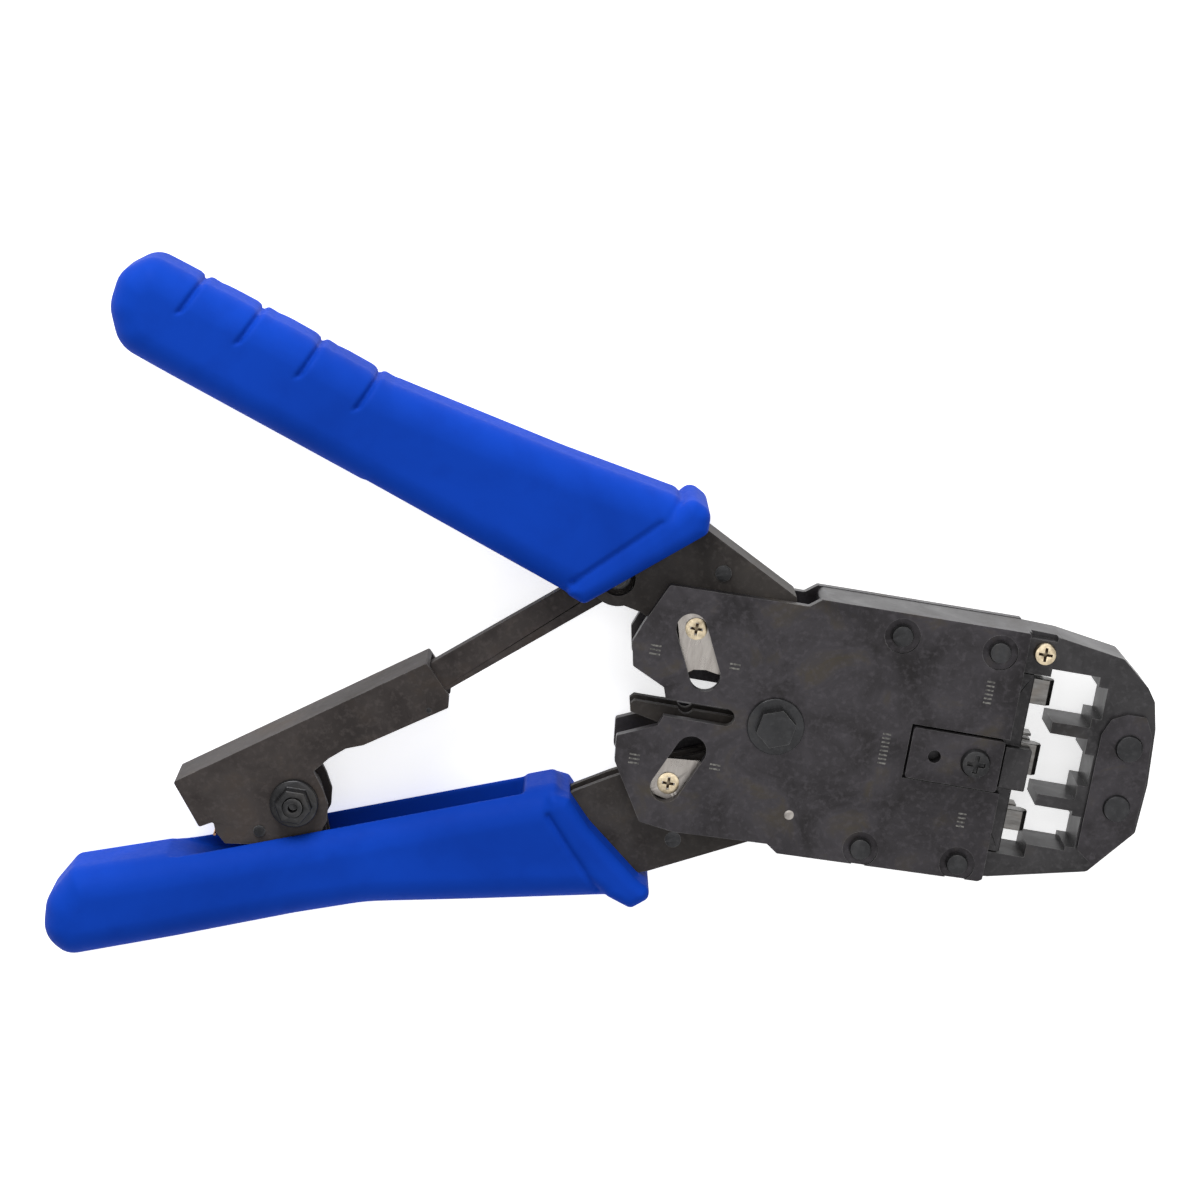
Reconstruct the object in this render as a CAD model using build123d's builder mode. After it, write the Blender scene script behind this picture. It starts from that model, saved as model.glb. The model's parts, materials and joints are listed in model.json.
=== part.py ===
"""Ratchet crimping tool for flat-cable modular plugs, with a built-in cable stripper.

The tool lies on its side. Z = 0 is the table. The main pivot axis is x = y = 0, +X runs along the head
to the nose, +Y is across the tool towards the upper handle, and +Z comes out of the marked face.
Both handles swing about the main pivot and their cam lobes push the ram towards the nose.
All sizes are in millimetres.
"""
import os
from math import cos, hypot, radians, sin

from build123d import *

os.makedirs("parts", exist_ok=True)

# ---- Levels through the thickness ---------------------------------------------------------------
far_plate_bottom = 3.0
plate_thickness = 2.0
core_bottom = far_plate_bottom + plate_thickness
core_thickness = 11.0
core_top = core_bottom + core_thickness
plate_top = core_top + plate_thickness
grip_thickness = 21.0
grip_inset = 0.4

lever_sheet = 1.5
lever_gap = 0.1
outer_lever_bottom = 5.2
outer_lever_top = 14.8
inner_lever_bottom = outer_lever_bottom + lever_sheet + lever_gap
inner_lever_top = outer_lever_top - lever_sheet - lever_gap
blade_thickness = 0.9
lever_mid = (outer_lever_bottom + outer_lever_top) / 2

# ---- Main pivot and travel ----------------------------------------------------------------------
handle_travel = 15.0
pivot_radius = 2.9
pivot_clearance = 0.05
bush_radius = 4.2
hub_radius = 7.2
cam_reach = 16.0
cam_radius = 2.6
cam_gap = 0.05
cam_start = (-cam_reach * sin(radians(handle_travel / 2)), cam_reach * cos(radians(handle_travel / 2)))
ram_stroke = 2 * cam_reach * sin(radians(handle_travel / 2))

# ---- Head ---------------------------------------------------------------------------------------
rivet_spots = [(19.9, 20.7), (38.2, 20.7), (19.9, -20.5), (38.2, -20.3)]
rivet_radius = 2.0
rivet_head_radius = 2.9
rivet_recess_radius = 3.3
rivet_recess_depth = 0.6
mouth_half = 1.65
mouth_end = -7.7
window_radius = 2.85
upper_window = [(-18.5, 15.4), (-14.5, 7.0)]
lower_window = [(-17.9, -15.0), (-14.5, -7.4)]
blade_screw_spots = [(-17.5, 15.1), (-17.4, -14.7)]
dowel_spot = (5.6, -16.3)
dowel_radius = 0.9

# ---- Die frame, ram and plug windows ------------------------------------------------------------
ram_half_width = 17.2
ram_side_gap = 0.2
ram_rear = 12.0
ram_face = 45.8
ram_slack = 0.2
ram_arm_inner = 13.4
window_wall_start = 50.6
anvil_edge = 57.7
latch_pocket_end = 59.5
latch_pocket_width = 6.0
contact_pitch = 1.02
plug_windows = {"6p": (9.1, 18.9, 6), "8p": (-4.9, 6.9, 8), "4p": (-14.8, -7.1, 4)}
comb_reach = 2.5
comb_level = 6.4
comb_height = 3.6
strain_reach = 4.0
strain_level = 11.6
strain_height = 3.2
retainer_x = (25.2, 42.4)
retainer_y = (-5.3, 4.4)
retainer_gap = 0.35
retainer_slot_end = 50.0
retainer_thickness = 3.1
retainer_hole_spot = (29.9, -0.5)
retainer_hole_radius = 1.2
retainer_screw_spot = (37.6, -0.4)
frame_screw_spot = (46.6, 21.6)

# ---- Ratchet link -------------------------------------------------------------------------------
ratchet_pivot = (-85.2, -30.0)
bar_angle = 40.1
bar_offset = 6.1
bar_half_height = 3.0
bar_thickness = 3.0
link_reach = 73.0
bar_tail = 2.0
tooth_pitch = 1.5
tooth_depth = 0.9
tooth_count = 12
housing_bottom = 3.7
housing_top = 16.3
housing_sheet = 1.2
housing_web = 0.9
ratchet_bolt_radius = 1.8
link_pin_radius = 1.6
open_pivot_radius = 3.25
pawl_travel = 10.0


def along_bar(along, across):
    """Row-frame point given along and across the ratchet bar, measured from the ratchet pivot."""
    turn = radians(bar_angle)
    return (
        ratchet_pivot[0] + along * cos(turn) - across * sin(turn),
        ratchet_pivot[1] + along * sin(turn) + across * cos(turn),
    )


def mirrored(points):
    """The same points on the other side of the head's axis."""
    return [(x, -y) for x, y in points]


def outline(points, rounding=0.0):
    """Closed profile through the points, with every corner rounded where a radius is given."""
    with BuildSketch() as profile:
        with BuildLine():
            Polyline(*points, close=True)
        make_face()
        if rounding:
            fillet(profile.vertices(), rounding)
    return profile.sketch


def stadium(start, end, radius):
    """Profile of a round-ended slot between two centres."""
    with BuildSketch() as profile:
        for centre in (start, end):
            with Locations(centre):
                Circle(radius)
        make_hull()
    return profile.sketch


def shifted_line(points, shift):
    """The polyline moved sideways by a distance, to the left of its direction of travel."""
    moved = []
    for index, (x, y) in enumerate(points):
        before = points[max(index - 1, 0)]
        after = points[min(index + 1, len(points) - 1)]
        length = hypot(after[0] - before[0], after[1] - before[1])
        along = (after[0] - before[0]) / length, (after[1] - before[1]) / length
        moved.append((x - shift * along[1], y + shift * along[0]))
    return moved


def save(piece, label):
    """Label a finished piece and write its STEP file."""
    piece.label = label
    export_step(piece, f"parts/{label}.step")


link_pivot = along_bar(link_reach, bar_offset)

# ---- Side plates --------------------------------------------------------------------------------
upper_jaw = [(-20.9, mouth_half), (-21.6, 3.7), (-27.9, 6.7), (-28.8, 11.2), (-27.3, 15.2), (-23.8, 22.8)]
lower_jaw = [(-21.6, -22.3), (-28.1, -11.6), (-28.6, -6.8), (-21.4, -3.6), (-20.7, -mouth_half)]
plate_edge = (
    upper_jaw
    + [(-0.2, 23.2), (2.0, 23.2), (4.2, 24.9), (43.2, 25.2), (43.4, -22.4), (42.6, -22.9)]
    + [(4.7, -24.0), (2.6, -22.5), (-15.1, -23.2)]
    + lower_jaw
)
plate_profile = outline(plate_edge, 0.5)
mouth_flare_x = -40.0
mouth = stadium((mouth_end - mouth_half, 0), (mouth_flare_x, 0), mouth_half)
far_mouth_edge = [(mouth_flare_x, -mouth_half), (mouth_end, -mouth_half), (mouth_end, mouth_half)]
far_mouth_edge += [(-10.0, 3.2), (mouth_flare_x, 3.2)]
far_upper_window = [upper_window[0], (-14.5, 8.4)]
far_lower_window = [lower_window[0], (-17.2, -15.4)]


def plate_openings(windows, mouth_profile):
    """Openings of a side plate: blade windows, stripping mouth, and pivot and rivet holes."""
    with BuildSketch() as profile:
        for window in windows:
            add(stadium(*window, window_radius))
        add(mouth_profile)
        Circle(pivot_radius + pivot_clearance)
        with Locations(*rivet_spots):
            Circle(rivet_radius)
    return profile.sketch



with BuildPart() as near_side_plate:
    with BuildSketch(Plane.XY.offset(core_top)):
        add(plate_profile)
    extrude(amount=plate_thickness)
    with BuildSketch(Plane.XY.offset(core_top)):
        add(plate_openings([upper_window, lower_window], mouth))
    extrude(amount=plate_thickness, mode=Mode.SUBTRACT)
    with BuildSketch(Plane.XY.offset(plate_top)):
        with Locations(*rivet_spots):
            Circle(rivet_recess_radius)
    extrude(amount=-rivet_recess_depth, mode=Mode.SUBTRACT)
    with BuildSketch(Plane.XY.offset(core_top)):
        with Locations(((retainer_x[0] - retainer_gap + retainer_slot_end) / 2, sum(retainer_y) / 2)):
            Rectangle(
                retainer_slot_end - retainer_x[0] + retainer_gap,
                retainer_y[1] - retainer_y[0] + 2 * retainer_gap,
            )
        with Locations(dowel_spot):
            Circle(dowel_radius)
    extrude(amount=plate_thickness, mode=Mode.SUBTRACT)
save(near_side_plate.part, "near_side_plate")

with BuildPart() as far_side_plate:
    with BuildSketch(Plane.XY.offset(far_plate_bottom)):
        add(plate_profile)
    extrude(amount=plate_thickness)
    with BuildSketch(Plane.XY.offset(far_plate_bottom)):
        add(plate_openings([far_upper_window, far_lower_window], outline(far_mouth_edge, 0.5)))
    extrude(amount=plate_thickness, mode=Mode.SUBTRACT)
    with BuildSketch(Plane.XY.offset(far_plate_bottom)):
        with Locations(*rivet_spots):
            Circle(rivet_recess_radius)
    extrude(amount=rivet_recess_depth, mode=Mode.SUBTRACT)
save(far_side_plate.part, "far_side_plate")

with BuildPart() as plate_dowel:
    with BuildSketch(Plane.XY.offset(core_top + 0.1)):
        with Locations(dowel_spot):
            Circle(dowel_radius)
    extrude(amount=plate_thickness)
save(plate_dowel.part, "plate_dowel")

# ---- Die frame: a C whose arms run back between the side plates ---------------------------------
frame_arm_rear = 4.2
lobe_room_end = 13.0
lobe_room_half = 19.2
overcut = 2.0
frame_screw_radius = 1.0
frame_screw_depth = 5.0
cavity_half = ram_half_width + ram_side_gap
frame_edge = [
    (frame_arm_rear, 24.8),
    (43.2, 25.1),
    (49.3, 24.9),
    (61.4, 23.0),
    (66.9, 18.4),
    (68.6, 16.0),
    (69.8, 10.8),
    (70.5, 0.2),
    (70.1, -9.2),
    (62.7, -18.1),
    (44.5, -22.2),
    (frame_arm_rear, -23.6),
]
notch_start = 43.6
notch_end = 48.6
notch_floor = 24.0
notch_height = 5.0
notch_depth = 2.4

with BuildPart() as die_frame:
    with BuildSketch(Plane.XY.offset(core_bottom)):
        add(outline(frame_edge, 1.2))
        with Locations(((frame_arm_rear - overcut + window_wall_start) / 2, 0)):
            Rectangle(window_wall_start - frame_arm_rear + overcut, 2 * cavity_half, mode=Mode.SUBTRACT)
        with Locations(((frame_arm_rear - overcut + lobe_room_end) / 2, 0)):
            Rectangle(lobe_room_end - frame_arm_rear + overcut, 2 * lobe_room_half, mode=Mode.SUBTRACT)
        for low, high, _ in plug_windows.values():
            middle = (low + high) / 2
            with Locations(((window_wall_start - overcut + anvil_edge) / 2, middle)):
                Rectangle(anvil_edge - window_wall_start + overcut, high - low, mode=Mode.SUBTRACT)
            with Locations(((anvil_edge - overcut + latch_pocket_end) / 2, middle)):
                Rectangle(latch_pocket_end - anvil_edge + overcut, latch_pocket_width, mode=Mode.SUBTRACT)
        with Locations(*rivet_spots):
            Circle(rivet_radius, mode=Mode.SUBTRACT)
    extrude(amount=core_thickness)
    with BuildSketch(Plane.XY.offset(core_top)):
        with Locations(((notch_start + notch_end) / 2, notch_floor + notch_height / 2)):
            Rectangle(notch_end - notch_start, notch_height)
    extrude(amount=-notch_depth, mode=Mode.SUBTRACT)
    with Locations((*frame_screw_spot, core_top)):
        Hole(radius=frame_screw_radius, depth=frame_screw_depth)
save(die_frame.part, "die_frame")

anvil_edge_points = [(59.9, -14.0), (59.9, 8.5), (61.2, 11.6), (64.0, 13.0), (67.6, 13.0)]
anvil_edge_points += [(69.3, 9.5), (70.0, 0.2), (69.6, -9.0), (63.4, -16.6)]
anvil_thickness = 0.9
anvil_rivet_spots = [(65.5, 6.7), (65.5, -4.9)]
anvil_rivet_radius = 2.2
anvil_head_radius = 2.6
anvil_head_rise = 0.8
rivet_taper = 15

with BuildPart() as anvil_plate:
    with BuildSketch(Plane.XY.offset(core_top)):
        add(outline(anvil_edge_points, 0.9))
        with Locations(*anvil_rivet_spots):
            Circle(anvil_rivet_radius, mode=Mode.SUBTRACT)
    extrude(amount=anvil_thickness)
save(anvil_plate.part, "anvil_plate")

with BuildPart() as anvil_rivets:
    for x, y in anvil_rivet_spots:
        with BuildSketch(Plane.XY.offset(core_top)):
            with Locations((x, y)):
                Circle(anvil_rivet_radius)
        extrude(amount=anvil_thickness)
        with BuildSketch(Plane.XY.offset(core_top + anvil_thickness)):
            with Locations((x, y)):
                Circle(anvil_head_radius)
        extrude(amount=anvil_head_rise, taper=rivet_taper)
save(anvil_rivets.part, "anvil_rivets")

rivet_head_rise = 0.5

with BuildPart() as frame_rivets:
    for x, y in rivet_spots:
        with BuildSketch(Plane.XY.offset(far_plate_bottom)):
            with Locations((x, y)):
                Circle(rivet_radius)
        extrude(amount=plate_top - far_plate_bottom)
        with BuildSketch(Plane.XY.offset(plate_top)):
            with Locations((x, y)):
                Circle(rivet_radius)
        extrude(amount=rivet_head_rise, taper=rivet_taper)
        with BuildSketch(Plane.XY.offset(far_plate_bottom + rivet_recess_depth)):
            with Locations((x, y)):
                Circle(rivet_head_radius)
        extrude(amount=-rivet_recess_depth - rivet_head_rise, taper=rivet_taper)
save(frame_rivets.part, "frame_rivets")

frame_screw_head = 1.4
frame_screw_head_radius = 2.1
cross_length = 2.6
cross_width = 0.5

with BuildPart() as frame_screw:
    with BuildSketch(Plane.XY.offset(core_top - frame_screw_depth)):
        with Locations(frame_screw_spot):
            Circle(frame_screw_radius)
    extrude(amount=frame_screw_depth + cross_width / 2)
    with BuildSketch(Plane.XY.offset(core_top)):
        with Locations(frame_screw_spot):
            Circle(frame_screw_head_radius)
    extrude(amount=frame_screw_head, taper=8)
    with BuildSketch(Plane.XY.offset(core_top + frame_screw_head)):
        with Locations(frame_screw_spot):
            Rectangle(cross_length, cross_width)
            Rectangle(cross_width, cross_length)
    extrude(amount=-0.8, mode=Mode.SUBTRACT)
save(frame_screw.part, "frame_screw")

# ---- Main pivot ---------------------------------------------------------------------------------
washer_radius = 5.3
washer_thickness = 0.8
pivot_nut_height = far_plate_bottom - washer_thickness
pivot_head_height = 2.0
pivot_head_half_flats = 3.25
pivot_nut_half_flats = 3.9
pivot_thread_radius = 1.9
nut_floor = 0.6
thread_end = 0.3

with BuildPart() as main_pivot_bolt:
    with BuildSketch(Plane.XY.offset(nut_floor)):
        Circle(pivot_thread_radius)
    extrude(amount=pivot_nut_height - nut_floor)
    with BuildSketch(Plane.XY.offset(pivot_nut_height)):
        Circle(pivot_radius)
    extrude(amount=plate_top + washer_thickness - pivot_nut_height)
    with BuildSketch(Plane.XY.offset(plate_top + washer_thickness)):
        RegularPolygon(radius=pivot_head_half_flats, side_count=6, major_radius=False, rotation=20)
    extrude(amount=pivot_head_height)
save(main_pivot_bolt.part, "main_pivot_bolt")

with BuildPart() as main_pivot_nut:
    with BuildSketch(Plane.XY):
        RegularPolygon(radius=pivot_nut_half_flats, side_count=6, major_radius=False)
    extrude(amount=pivot_nut_height)
    with BuildSketch(Plane.XY.offset(nut_floor)):
        Circle(pivot_thread_radius)
    extrude(amount=pivot_nut_height - nut_floor, mode=Mode.SUBTRACT)
save(main_pivot_nut.part, "main_pivot_nut")

with BuildPart() as pivot_washers:
    for level in (pivot_nut_height, plate_top):
        with BuildSketch(Plane.XY.offset(level)):
            Circle(washer_radius)
            Circle(pivot_radius, mode=Mode.SUBTRACT)
        extrude(amount=washer_thickness)
save(pivot_washers.part, "pivot_washers")

with BuildPart() as pivot_bush:
    with BuildSketch(Plane.XY.offset(core_bottom + 0.1)):
        Circle(bush_radius)
        Circle(pivot_radius, mode=Mode.SUBTRACT)
    extrude(amount=core_thickness - 0.2)
save(pivot_bush.part, "pivot_bush")

# ---- Return spring: a hairpin round the bush, with a leg inside each handle ---------------------
spring_wire_radius = 0.7
spring_bend_radius = bush_radius + spring_wire_radius + 0.15
spring_leg_angle = 46.7
spring_leg_length = 31.0
spring_turn_end = (
    spring_bend_radius * sin(radians(spring_leg_angle)),
    spring_bend_radius * cos(radians(spring_leg_angle)),
)
spring_tip = (
    spring_turn_end[0] - spring_leg_length * cos(radians(spring_leg_angle)),
    spring_turn_end[1] + spring_leg_length * sin(radians(spring_leg_angle)),
)

with BuildPart() as return_spring:
    with BuildLine(Plane.XY.offset(lever_mid)) as spring_path:
        Line((spring_tip[0], -spring_tip[1]), (spring_turn_end[0], -spring_turn_end[1]))
        ThreePointArc((spring_turn_end[0], -spring_turn_end[1]), (spring_bend_radius, 0), spring_turn_end)
        Line(spring_turn_end, spring_tip)
    with BuildSketch(Plane(origin=spring_path.wires()[0] @ 0, z_dir=spring_path.wires()[0] % 0)):
        Circle(spring_wire_radius)
    sweep(path=spring_path.wires()[0])
save(return_spring.part, "return_spring")

# ---- Levers: channels of bent sheet, open towards each other ------------------------------------
upper_back = [(-0.3, 23.9), (-18.7, 33.5), (-24.6, 35.4), (-50.0, 40.0), (-78.0, 46.0), (-117.0, 59.6)]
upper_inner = [(-117.0, 51.0), (-78.0, 37.6), (-48.0, 27.2), (-41.0, 24.5)]
lower_back = [(-0.3, -23.9), (-18.1, -32.9), (-24.0, -34.8), (-50.0, -39.8), (-72.0, -44.6), (-114.0, -61.0)]
lower_inner = [(-114.0, -54.4), (-101.0, -49.4), (-58.5, -33.8), (-44.0, -28.2)]
upper_throat = [(-33.9, 17.4), (-28.1, 16.2), (-20.0, 12.0), (-12.0, 8.6), (-4.6, 5.4)]
lower_throat = mirrored([(-34.2, 19.9), (-28.1, 16.2), (-20.0, 12.0), (-12.0, 8.6), (-4.6, 5.4)])
shoulder = [(5.4, 4.6), (0.3, 10.6), (0.3, 21.8)]
nose_waist = 2.05
link_boss_radius = 5.2
blade_screw_radius = 1.0
cutter_finger = [(-4.0, -0.8), (-26.2, -0.8), (-26.9, -1.6), (-26.6, -3.0), (-21.0, -4.2), (-4.0, -4.4)]
cutter_notch = (-16.6, -0.3)
cutter_notch_radius = 1.5


def lever_profile(back, inner, throat, side):
    """Whole side view of a lever: tang, hub and the cam lobe on the far side of the hub."""
    right_edge = [(x, side * y) for x, y in shoulder]
    waist_centre = (cam_start[0] * 0.8, -side * cam_start[1] * 0.8)
    lobe_centre = (cam_start[0], -side * cam_start[1])
    nose = [
        (5.0, -side * 4.2),
        (waist_centre[0] + nose_waist, waist_centre[1]),
        (lobe_centre[0] + nose_waist, lobe_centre[1]),
        (lobe_centre[0] - nose_waist, lobe_centre[1]),
        (waist_centre[0] - nose_waist, waist_centre[1]),
        (-5.0, -side * 4.2),
    ]
    with BuildSketch() as profile:
        add(outline(back + inner + throat + right_edge))
        Circle(hub_radius)
        add(outline(nose))
        with Locations(lobe_centre):
            Circle(cam_radius)
        Circle(bush_radius + pivot_clearance, mode=Mode.SUBTRACT)
    return profile.sketch


def channel_hollow(back, side):
    """What is cut away between a lever's two walls, leaving its bent back."""
    hollow_edge = shifted_line(back, side * lever_sheet)
    rear_end = (back[-1][0] - 8, hollow_edge[-1][1])
    return outline(hollow_edge + [rear_end, (-120, 0), (12, -side * 24), (12, side * 21)])


upper_profile = lever_profile(upper_back, upper_inner, upper_throat, 1)
lower_profile = lever_profile(lower_back, lower_inner, lower_throat, -1)
rivet_spot = (-14.4, 26.0)
rivet_hole = 1.5

with BuildPart() as upper_lever:
    with BuildSketch(Plane.XY.offset(outer_lever_bottom)):
        add(upper_profile)
        with Locations(link_pivot):
            Circle(link_boss_radius)
            Circle(open_pivot_radius, mode=Mode.SUBTRACT)
        with Locations(rivet_spot):
            Circle(rivet_hole, mode=Mode.SUBTRACT)
        with Locations(blade_screw_spots[0]):
            Circle(blade_screw_radius, mode=Mode.SUBTRACT)
    extrude(amount=outer_lever_top - outer_lever_bottom)
    with BuildSketch(Plane.XY.offset(outer_lever_bottom + lever_sheet)):
        add(channel_hollow(upper_back, 1))
    extrude(amount=outer_lever_top - outer_lever_bottom - 2 * lever_sheet, mode=Mode.SUBTRACT)
save(upper_lever.part, "upper_lever")

ear_radius = 4.6
ear_profile = outline([(-89.6, -30.5), (-87.8, -46.0), (-76.0, -42.0), (-80.8, -29.5)])
blade_seat = outline([(-22.4, -18.2), (-13.6, -18.2), (-12.2, -11.4), (-18.6, -12.2)], 0.8)

with BuildPart() as lower_lever:
    with BuildSketch(Plane.XY.offset(inner_lever_bottom)):
        add(lower_profile)
        add(ear_profile)
        add(outline(cutter_finger))
        Circle(bush_radius + pivot_clearance, mode=Mode.SUBTRACT)
        with Locations(cutter_notch):
            Circle(cutter_notch_radius, mode=Mode.SUBTRACT)
        with Locations(ratchet_pivot):
            Circle(ear_radius)
            Circle(ratchet_bolt_radius, mode=Mode.SUBTRACT)
        with Locations(blade_screw_spots[1]):
            Circle(blade_screw_radius, mode=Mode.SUBTRACT)
        with Locations((rivet_spot[0], -rivet_spot[1])):
            Circle(rivet_hole, mode=Mode.SUBTRACT)
    extrude(amount=inner_lever_top - inner_lever_bottom)
    with BuildSketch(Plane.XY.offset(inner_lever_bottom + lever_sheet)):
        add(channel_hollow(lower_back, -1))
    extrude(amount=inner_lever_top - inner_lever_bottom - 2 * lever_sheet, mode=Mode.SUBTRACT)
    with BuildSketch(Plane.XY.offset(inner_lever_top)):
        add(blade_seat)
        with Locations(blade_screw_spots[1]):
            Circle(blade_screw_radius, mode=Mode.SUBTRACT)
    extrude(amount=outer_lever_top - inner_lever_top)
save(lower_lever.part, "lower_lever")

with BuildPart() as upper_lever_rivet:
    with BuildSketch(Plane.XY.offset(outer_lever_bottom)):
        with Locations(rivet_spot):
            Circle(rivet_hole)
    extrude(amount=outer_lever_top - outer_lever_bottom + 0.3)
save(upper_lever_rivet.part, "upper_lever_rivet")

with BuildPart() as lower_lever_rivet:
    with BuildSketch(Plane.XY.offset(inner_lever_bottom)):
        with Locations((rivet_spot[0], -rivet_spot[1])):
            Circle(rivet_hole)
    extrude(amount=inner_lever_top - inner_lever_bottom)
save(lower_lever_rivet.part, "lower_lever_rivet")

# ---- Blades and their screws --------------------------------------------------------------------
blade_edges = [
    [(-21.6, 17.6), (-14.4, 19.2), (-10.4, 7.2), (-12.2, 7.3), (-14.4, 7.7), (-16.6, 7.4), (-18.4, 6.1)],
    [(-21.2, -16.8), (-14.8, -18.4), (-12.0, -9.5), (-19.2, -10.1)],
]
with BuildPart() as upper_blade:
    with BuildSketch(Plane.XY.offset(outer_lever_top)):
        add(outline(blade_edges[0], 0.3))
        with Locations(blade_screw_spots[0]):
            Circle(blade_screw_radius, mode=Mode.SUBTRACT)
    extrude(amount=blade_thickness)
save(upper_blade.part, "upper_blade")

with BuildPart() as lower_blade:
    with BuildSketch(Plane.XY.offset(outer_lever_top)):
        add(outline(blade_edges[1], 0.3))
        with Locations(blade_screw_spots[1]):
            Circle(blade_screw_radius, mode=Mode.SUBTRACT)
    extrude(amount=blade_thickness)
save(lower_blade.part, "lower_blade")

blade_screw_head_radius = 2.05
blade_screw_head = 0.28
blade_screw_cross = 2.4


def blade_screw(spot, wall_bottom):
    """Screw through a lever wall, its thread stopping inside, with a low cross-slotted head."""
    with BuildPart() as screw:
        with BuildSketch(Plane.XY.offset(wall_bottom)):
            with Locations(spot):
                Circle(blade_screw_radius)
        extrude(amount=outer_lever_top + blade_thickness - wall_bottom)
        with BuildSketch(Plane.XY.offset(outer_lever_top + blade_thickness)):
            with Locations(spot):
                Circle(blade_screw_head_radius)
        extrude(amount=blade_screw_head)
        with BuildSketch(Plane.XY.offset(outer_lever_top + blade_thickness + blade_screw_head)):
            with Locations(spot):
                Rectangle(blade_screw_cross, cross_width)
                Rectangle(cross_width, blade_screw_cross)
        extrude(amount=-2 * blade_screw_head, mode=Mode.SUBTRACT)
    return screw.part


save(blade_screw(blade_screw_spots[0], outer_lever_top - lever_sheet), "upper_blade_screw")
save(blade_screw(blade_screw_spots[1], inner_lever_top - lever_sheet), "lower_blade_screw")

# ---- Grips --------------------------------------------------------------------------------------
upper_grip_edge = [
    (-43.2, 17.9),
    (-80.7, 31.4),
    (-119.6, 45.0),
    (-129.6, 48.6),
    (-132.4, 55.6),
    (-131.4, 62.0),
    (-126.0, 66.0),
    (-116.2, 62.8),
    (-99.8, 57.4),
    (-80.0, 50.3),
    (-47.2, 43.0),
    (-25.4, 38.9),
    (-20.0, 33.6),
    (-38.6, 17.0),
]
upper_rim_edge = [(-22.6, 39.9), (-18.9, 37.7), (-18.8, 33.5), (-38.8, 16.6), (-42.4, 18.0)]
upper_rim_edge += [(-42.2, 19.9), (-27.0, 34.6)]
lower_grip_edge = [
    (-101.0, -42.0),
    (-124.2, -50.0),
    (-128.0, -56.5),
    (-127.6, -63.6),
    (-122.6, -66.8),
    (-103.3, -59.7),
    (-81.9, -51.4),
    (-69.0, -46.9),
    (-50.0, -43.1),
    (-24.6, -37.8),
    (-19.4, -34.4),
    (-31.5, -24.6),
    (-38.0, -18.2),
]
lower_rim_edge = [(-38.4, -17.6), (-34.6, -18.4), (-30.5, -24.9), (-20.2, -33.1), (-17.4, -34.6)]
lower_rim_edge += [(-17.4, -36.4), (-20.3, -38.8), (-25.0, -37.2), (-33.6, -30.2), (-41.6, -21.0)]
upper_slot_edge = [(-26, 8), (-26, 18), (-33, 26.5), (-43, 28.5), (-79, 39), (-83, 30), (-45, 12)]
lower_slot_edge = [(-107.5, -38), (-107.5, -44.3), (-97.0, -44.8), (-88.0, -44.4)]
lower_slot_edge += [(-58.5, -33.6), (-43.5, -28), (-43.5, -14)]
pocket_gap = 0.1
pocket_side_gap = 0.05
slot_bottom = housing_bottom - 0.4
slot_top = housing_top + 0.4
grip_chamfer = 2.8

with BuildPart() as upper_grip:
    with BuildSketch(Plane.XY.offset(grip_inset)):
        add(outline(upper_grip_edge))
    extrude(amount=grip_thickness - 2 * grip_inset)
    sides = upper_grip.faces().filter_by(Axis.Z)
    chamfer(sides.edges(), grip_chamfer)
    with BuildSketch(Plane.XY):
        add(outline(upper_rim_edge, 0.8))
    extrude(amount=grip_thickness)
    with BuildSketch(Plane.XY.offset(outer_lever_bottom - pocket_side_gap)):
        add(outline(upper_back + upper_inner + upper_throat))
        with Locations(link_pivot):
            Circle(link_boss_radius)
        offset(amount=pocket_gap)
    extrude(amount=outer_lever_top - outer_lever_bottom + 2 * pocket_side_gap, mode=Mode.SUBTRACT)
    with BuildSketch(Plane.XY.offset(slot_bottom)):
        add(outline(upper_slot_edge))
    extrude(amount=slot_top - slot_bottom, mode=Mode.SUBTRACT)
save(upper_grip.part, "upper_grip")

with BuildPart() as lower_grip:
    with BuildSketch(Plane.XY.offset(grip_inset)):
        add(outline(lower_grip_edge))
    extrude(amount=grip_thickness - 2 * grip_inset)
    sides = lower_grip.faces().filter_by(Axis.Z)
    chamfer(sides.edges(), grip_chamfer)
    with BuildSketch(Plane.XY):
        add(outline(lower_rim_edge, 0.5))
    extrude(amount=grip_thickness)
    with BuildSketch(Plane.XY.offset(inner_lever_bottom - pocket_side_gap)):
        add(outline(lower_back + lower_inner + lower_throat))
        add(ear_profile)
        offset(amount=pocket_gap)
    extrude(amount=inner_lever_top - inner_lever_bottom + 2 * pocket_side_gap, mode=Mode.SUBTRACT)
    with BuildSketch(Plane.XY.offset(slot_bottom)):
        add(outline(lower_slot_edge))
    extrude(amount=slot_top - slot_bottom, mode=Mode.SUBTRACT)
save(lower_grip.part, "lower_grip")

# ---- Ram and what it carries --------------------------------------------------------------------
ram_level = core_bottom + ram_slack
ram_height = core_thickness - 2 * ram_slack
ram_arm_rear = cam_start[0] + cam_radius + cam_gap
ram_block_y = (-4.7, 3.3)
ram_block_x = (42.9, 47.8)
ram_block_height = 1.6
retainer_screw_radius = 1.5
retainer_screw_start = ram_level + 4.0
retainer_screw_head = 1.3
retainer_screw_head_radius = 2.8
retainer_cross = (3.4, 0.9)

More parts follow.
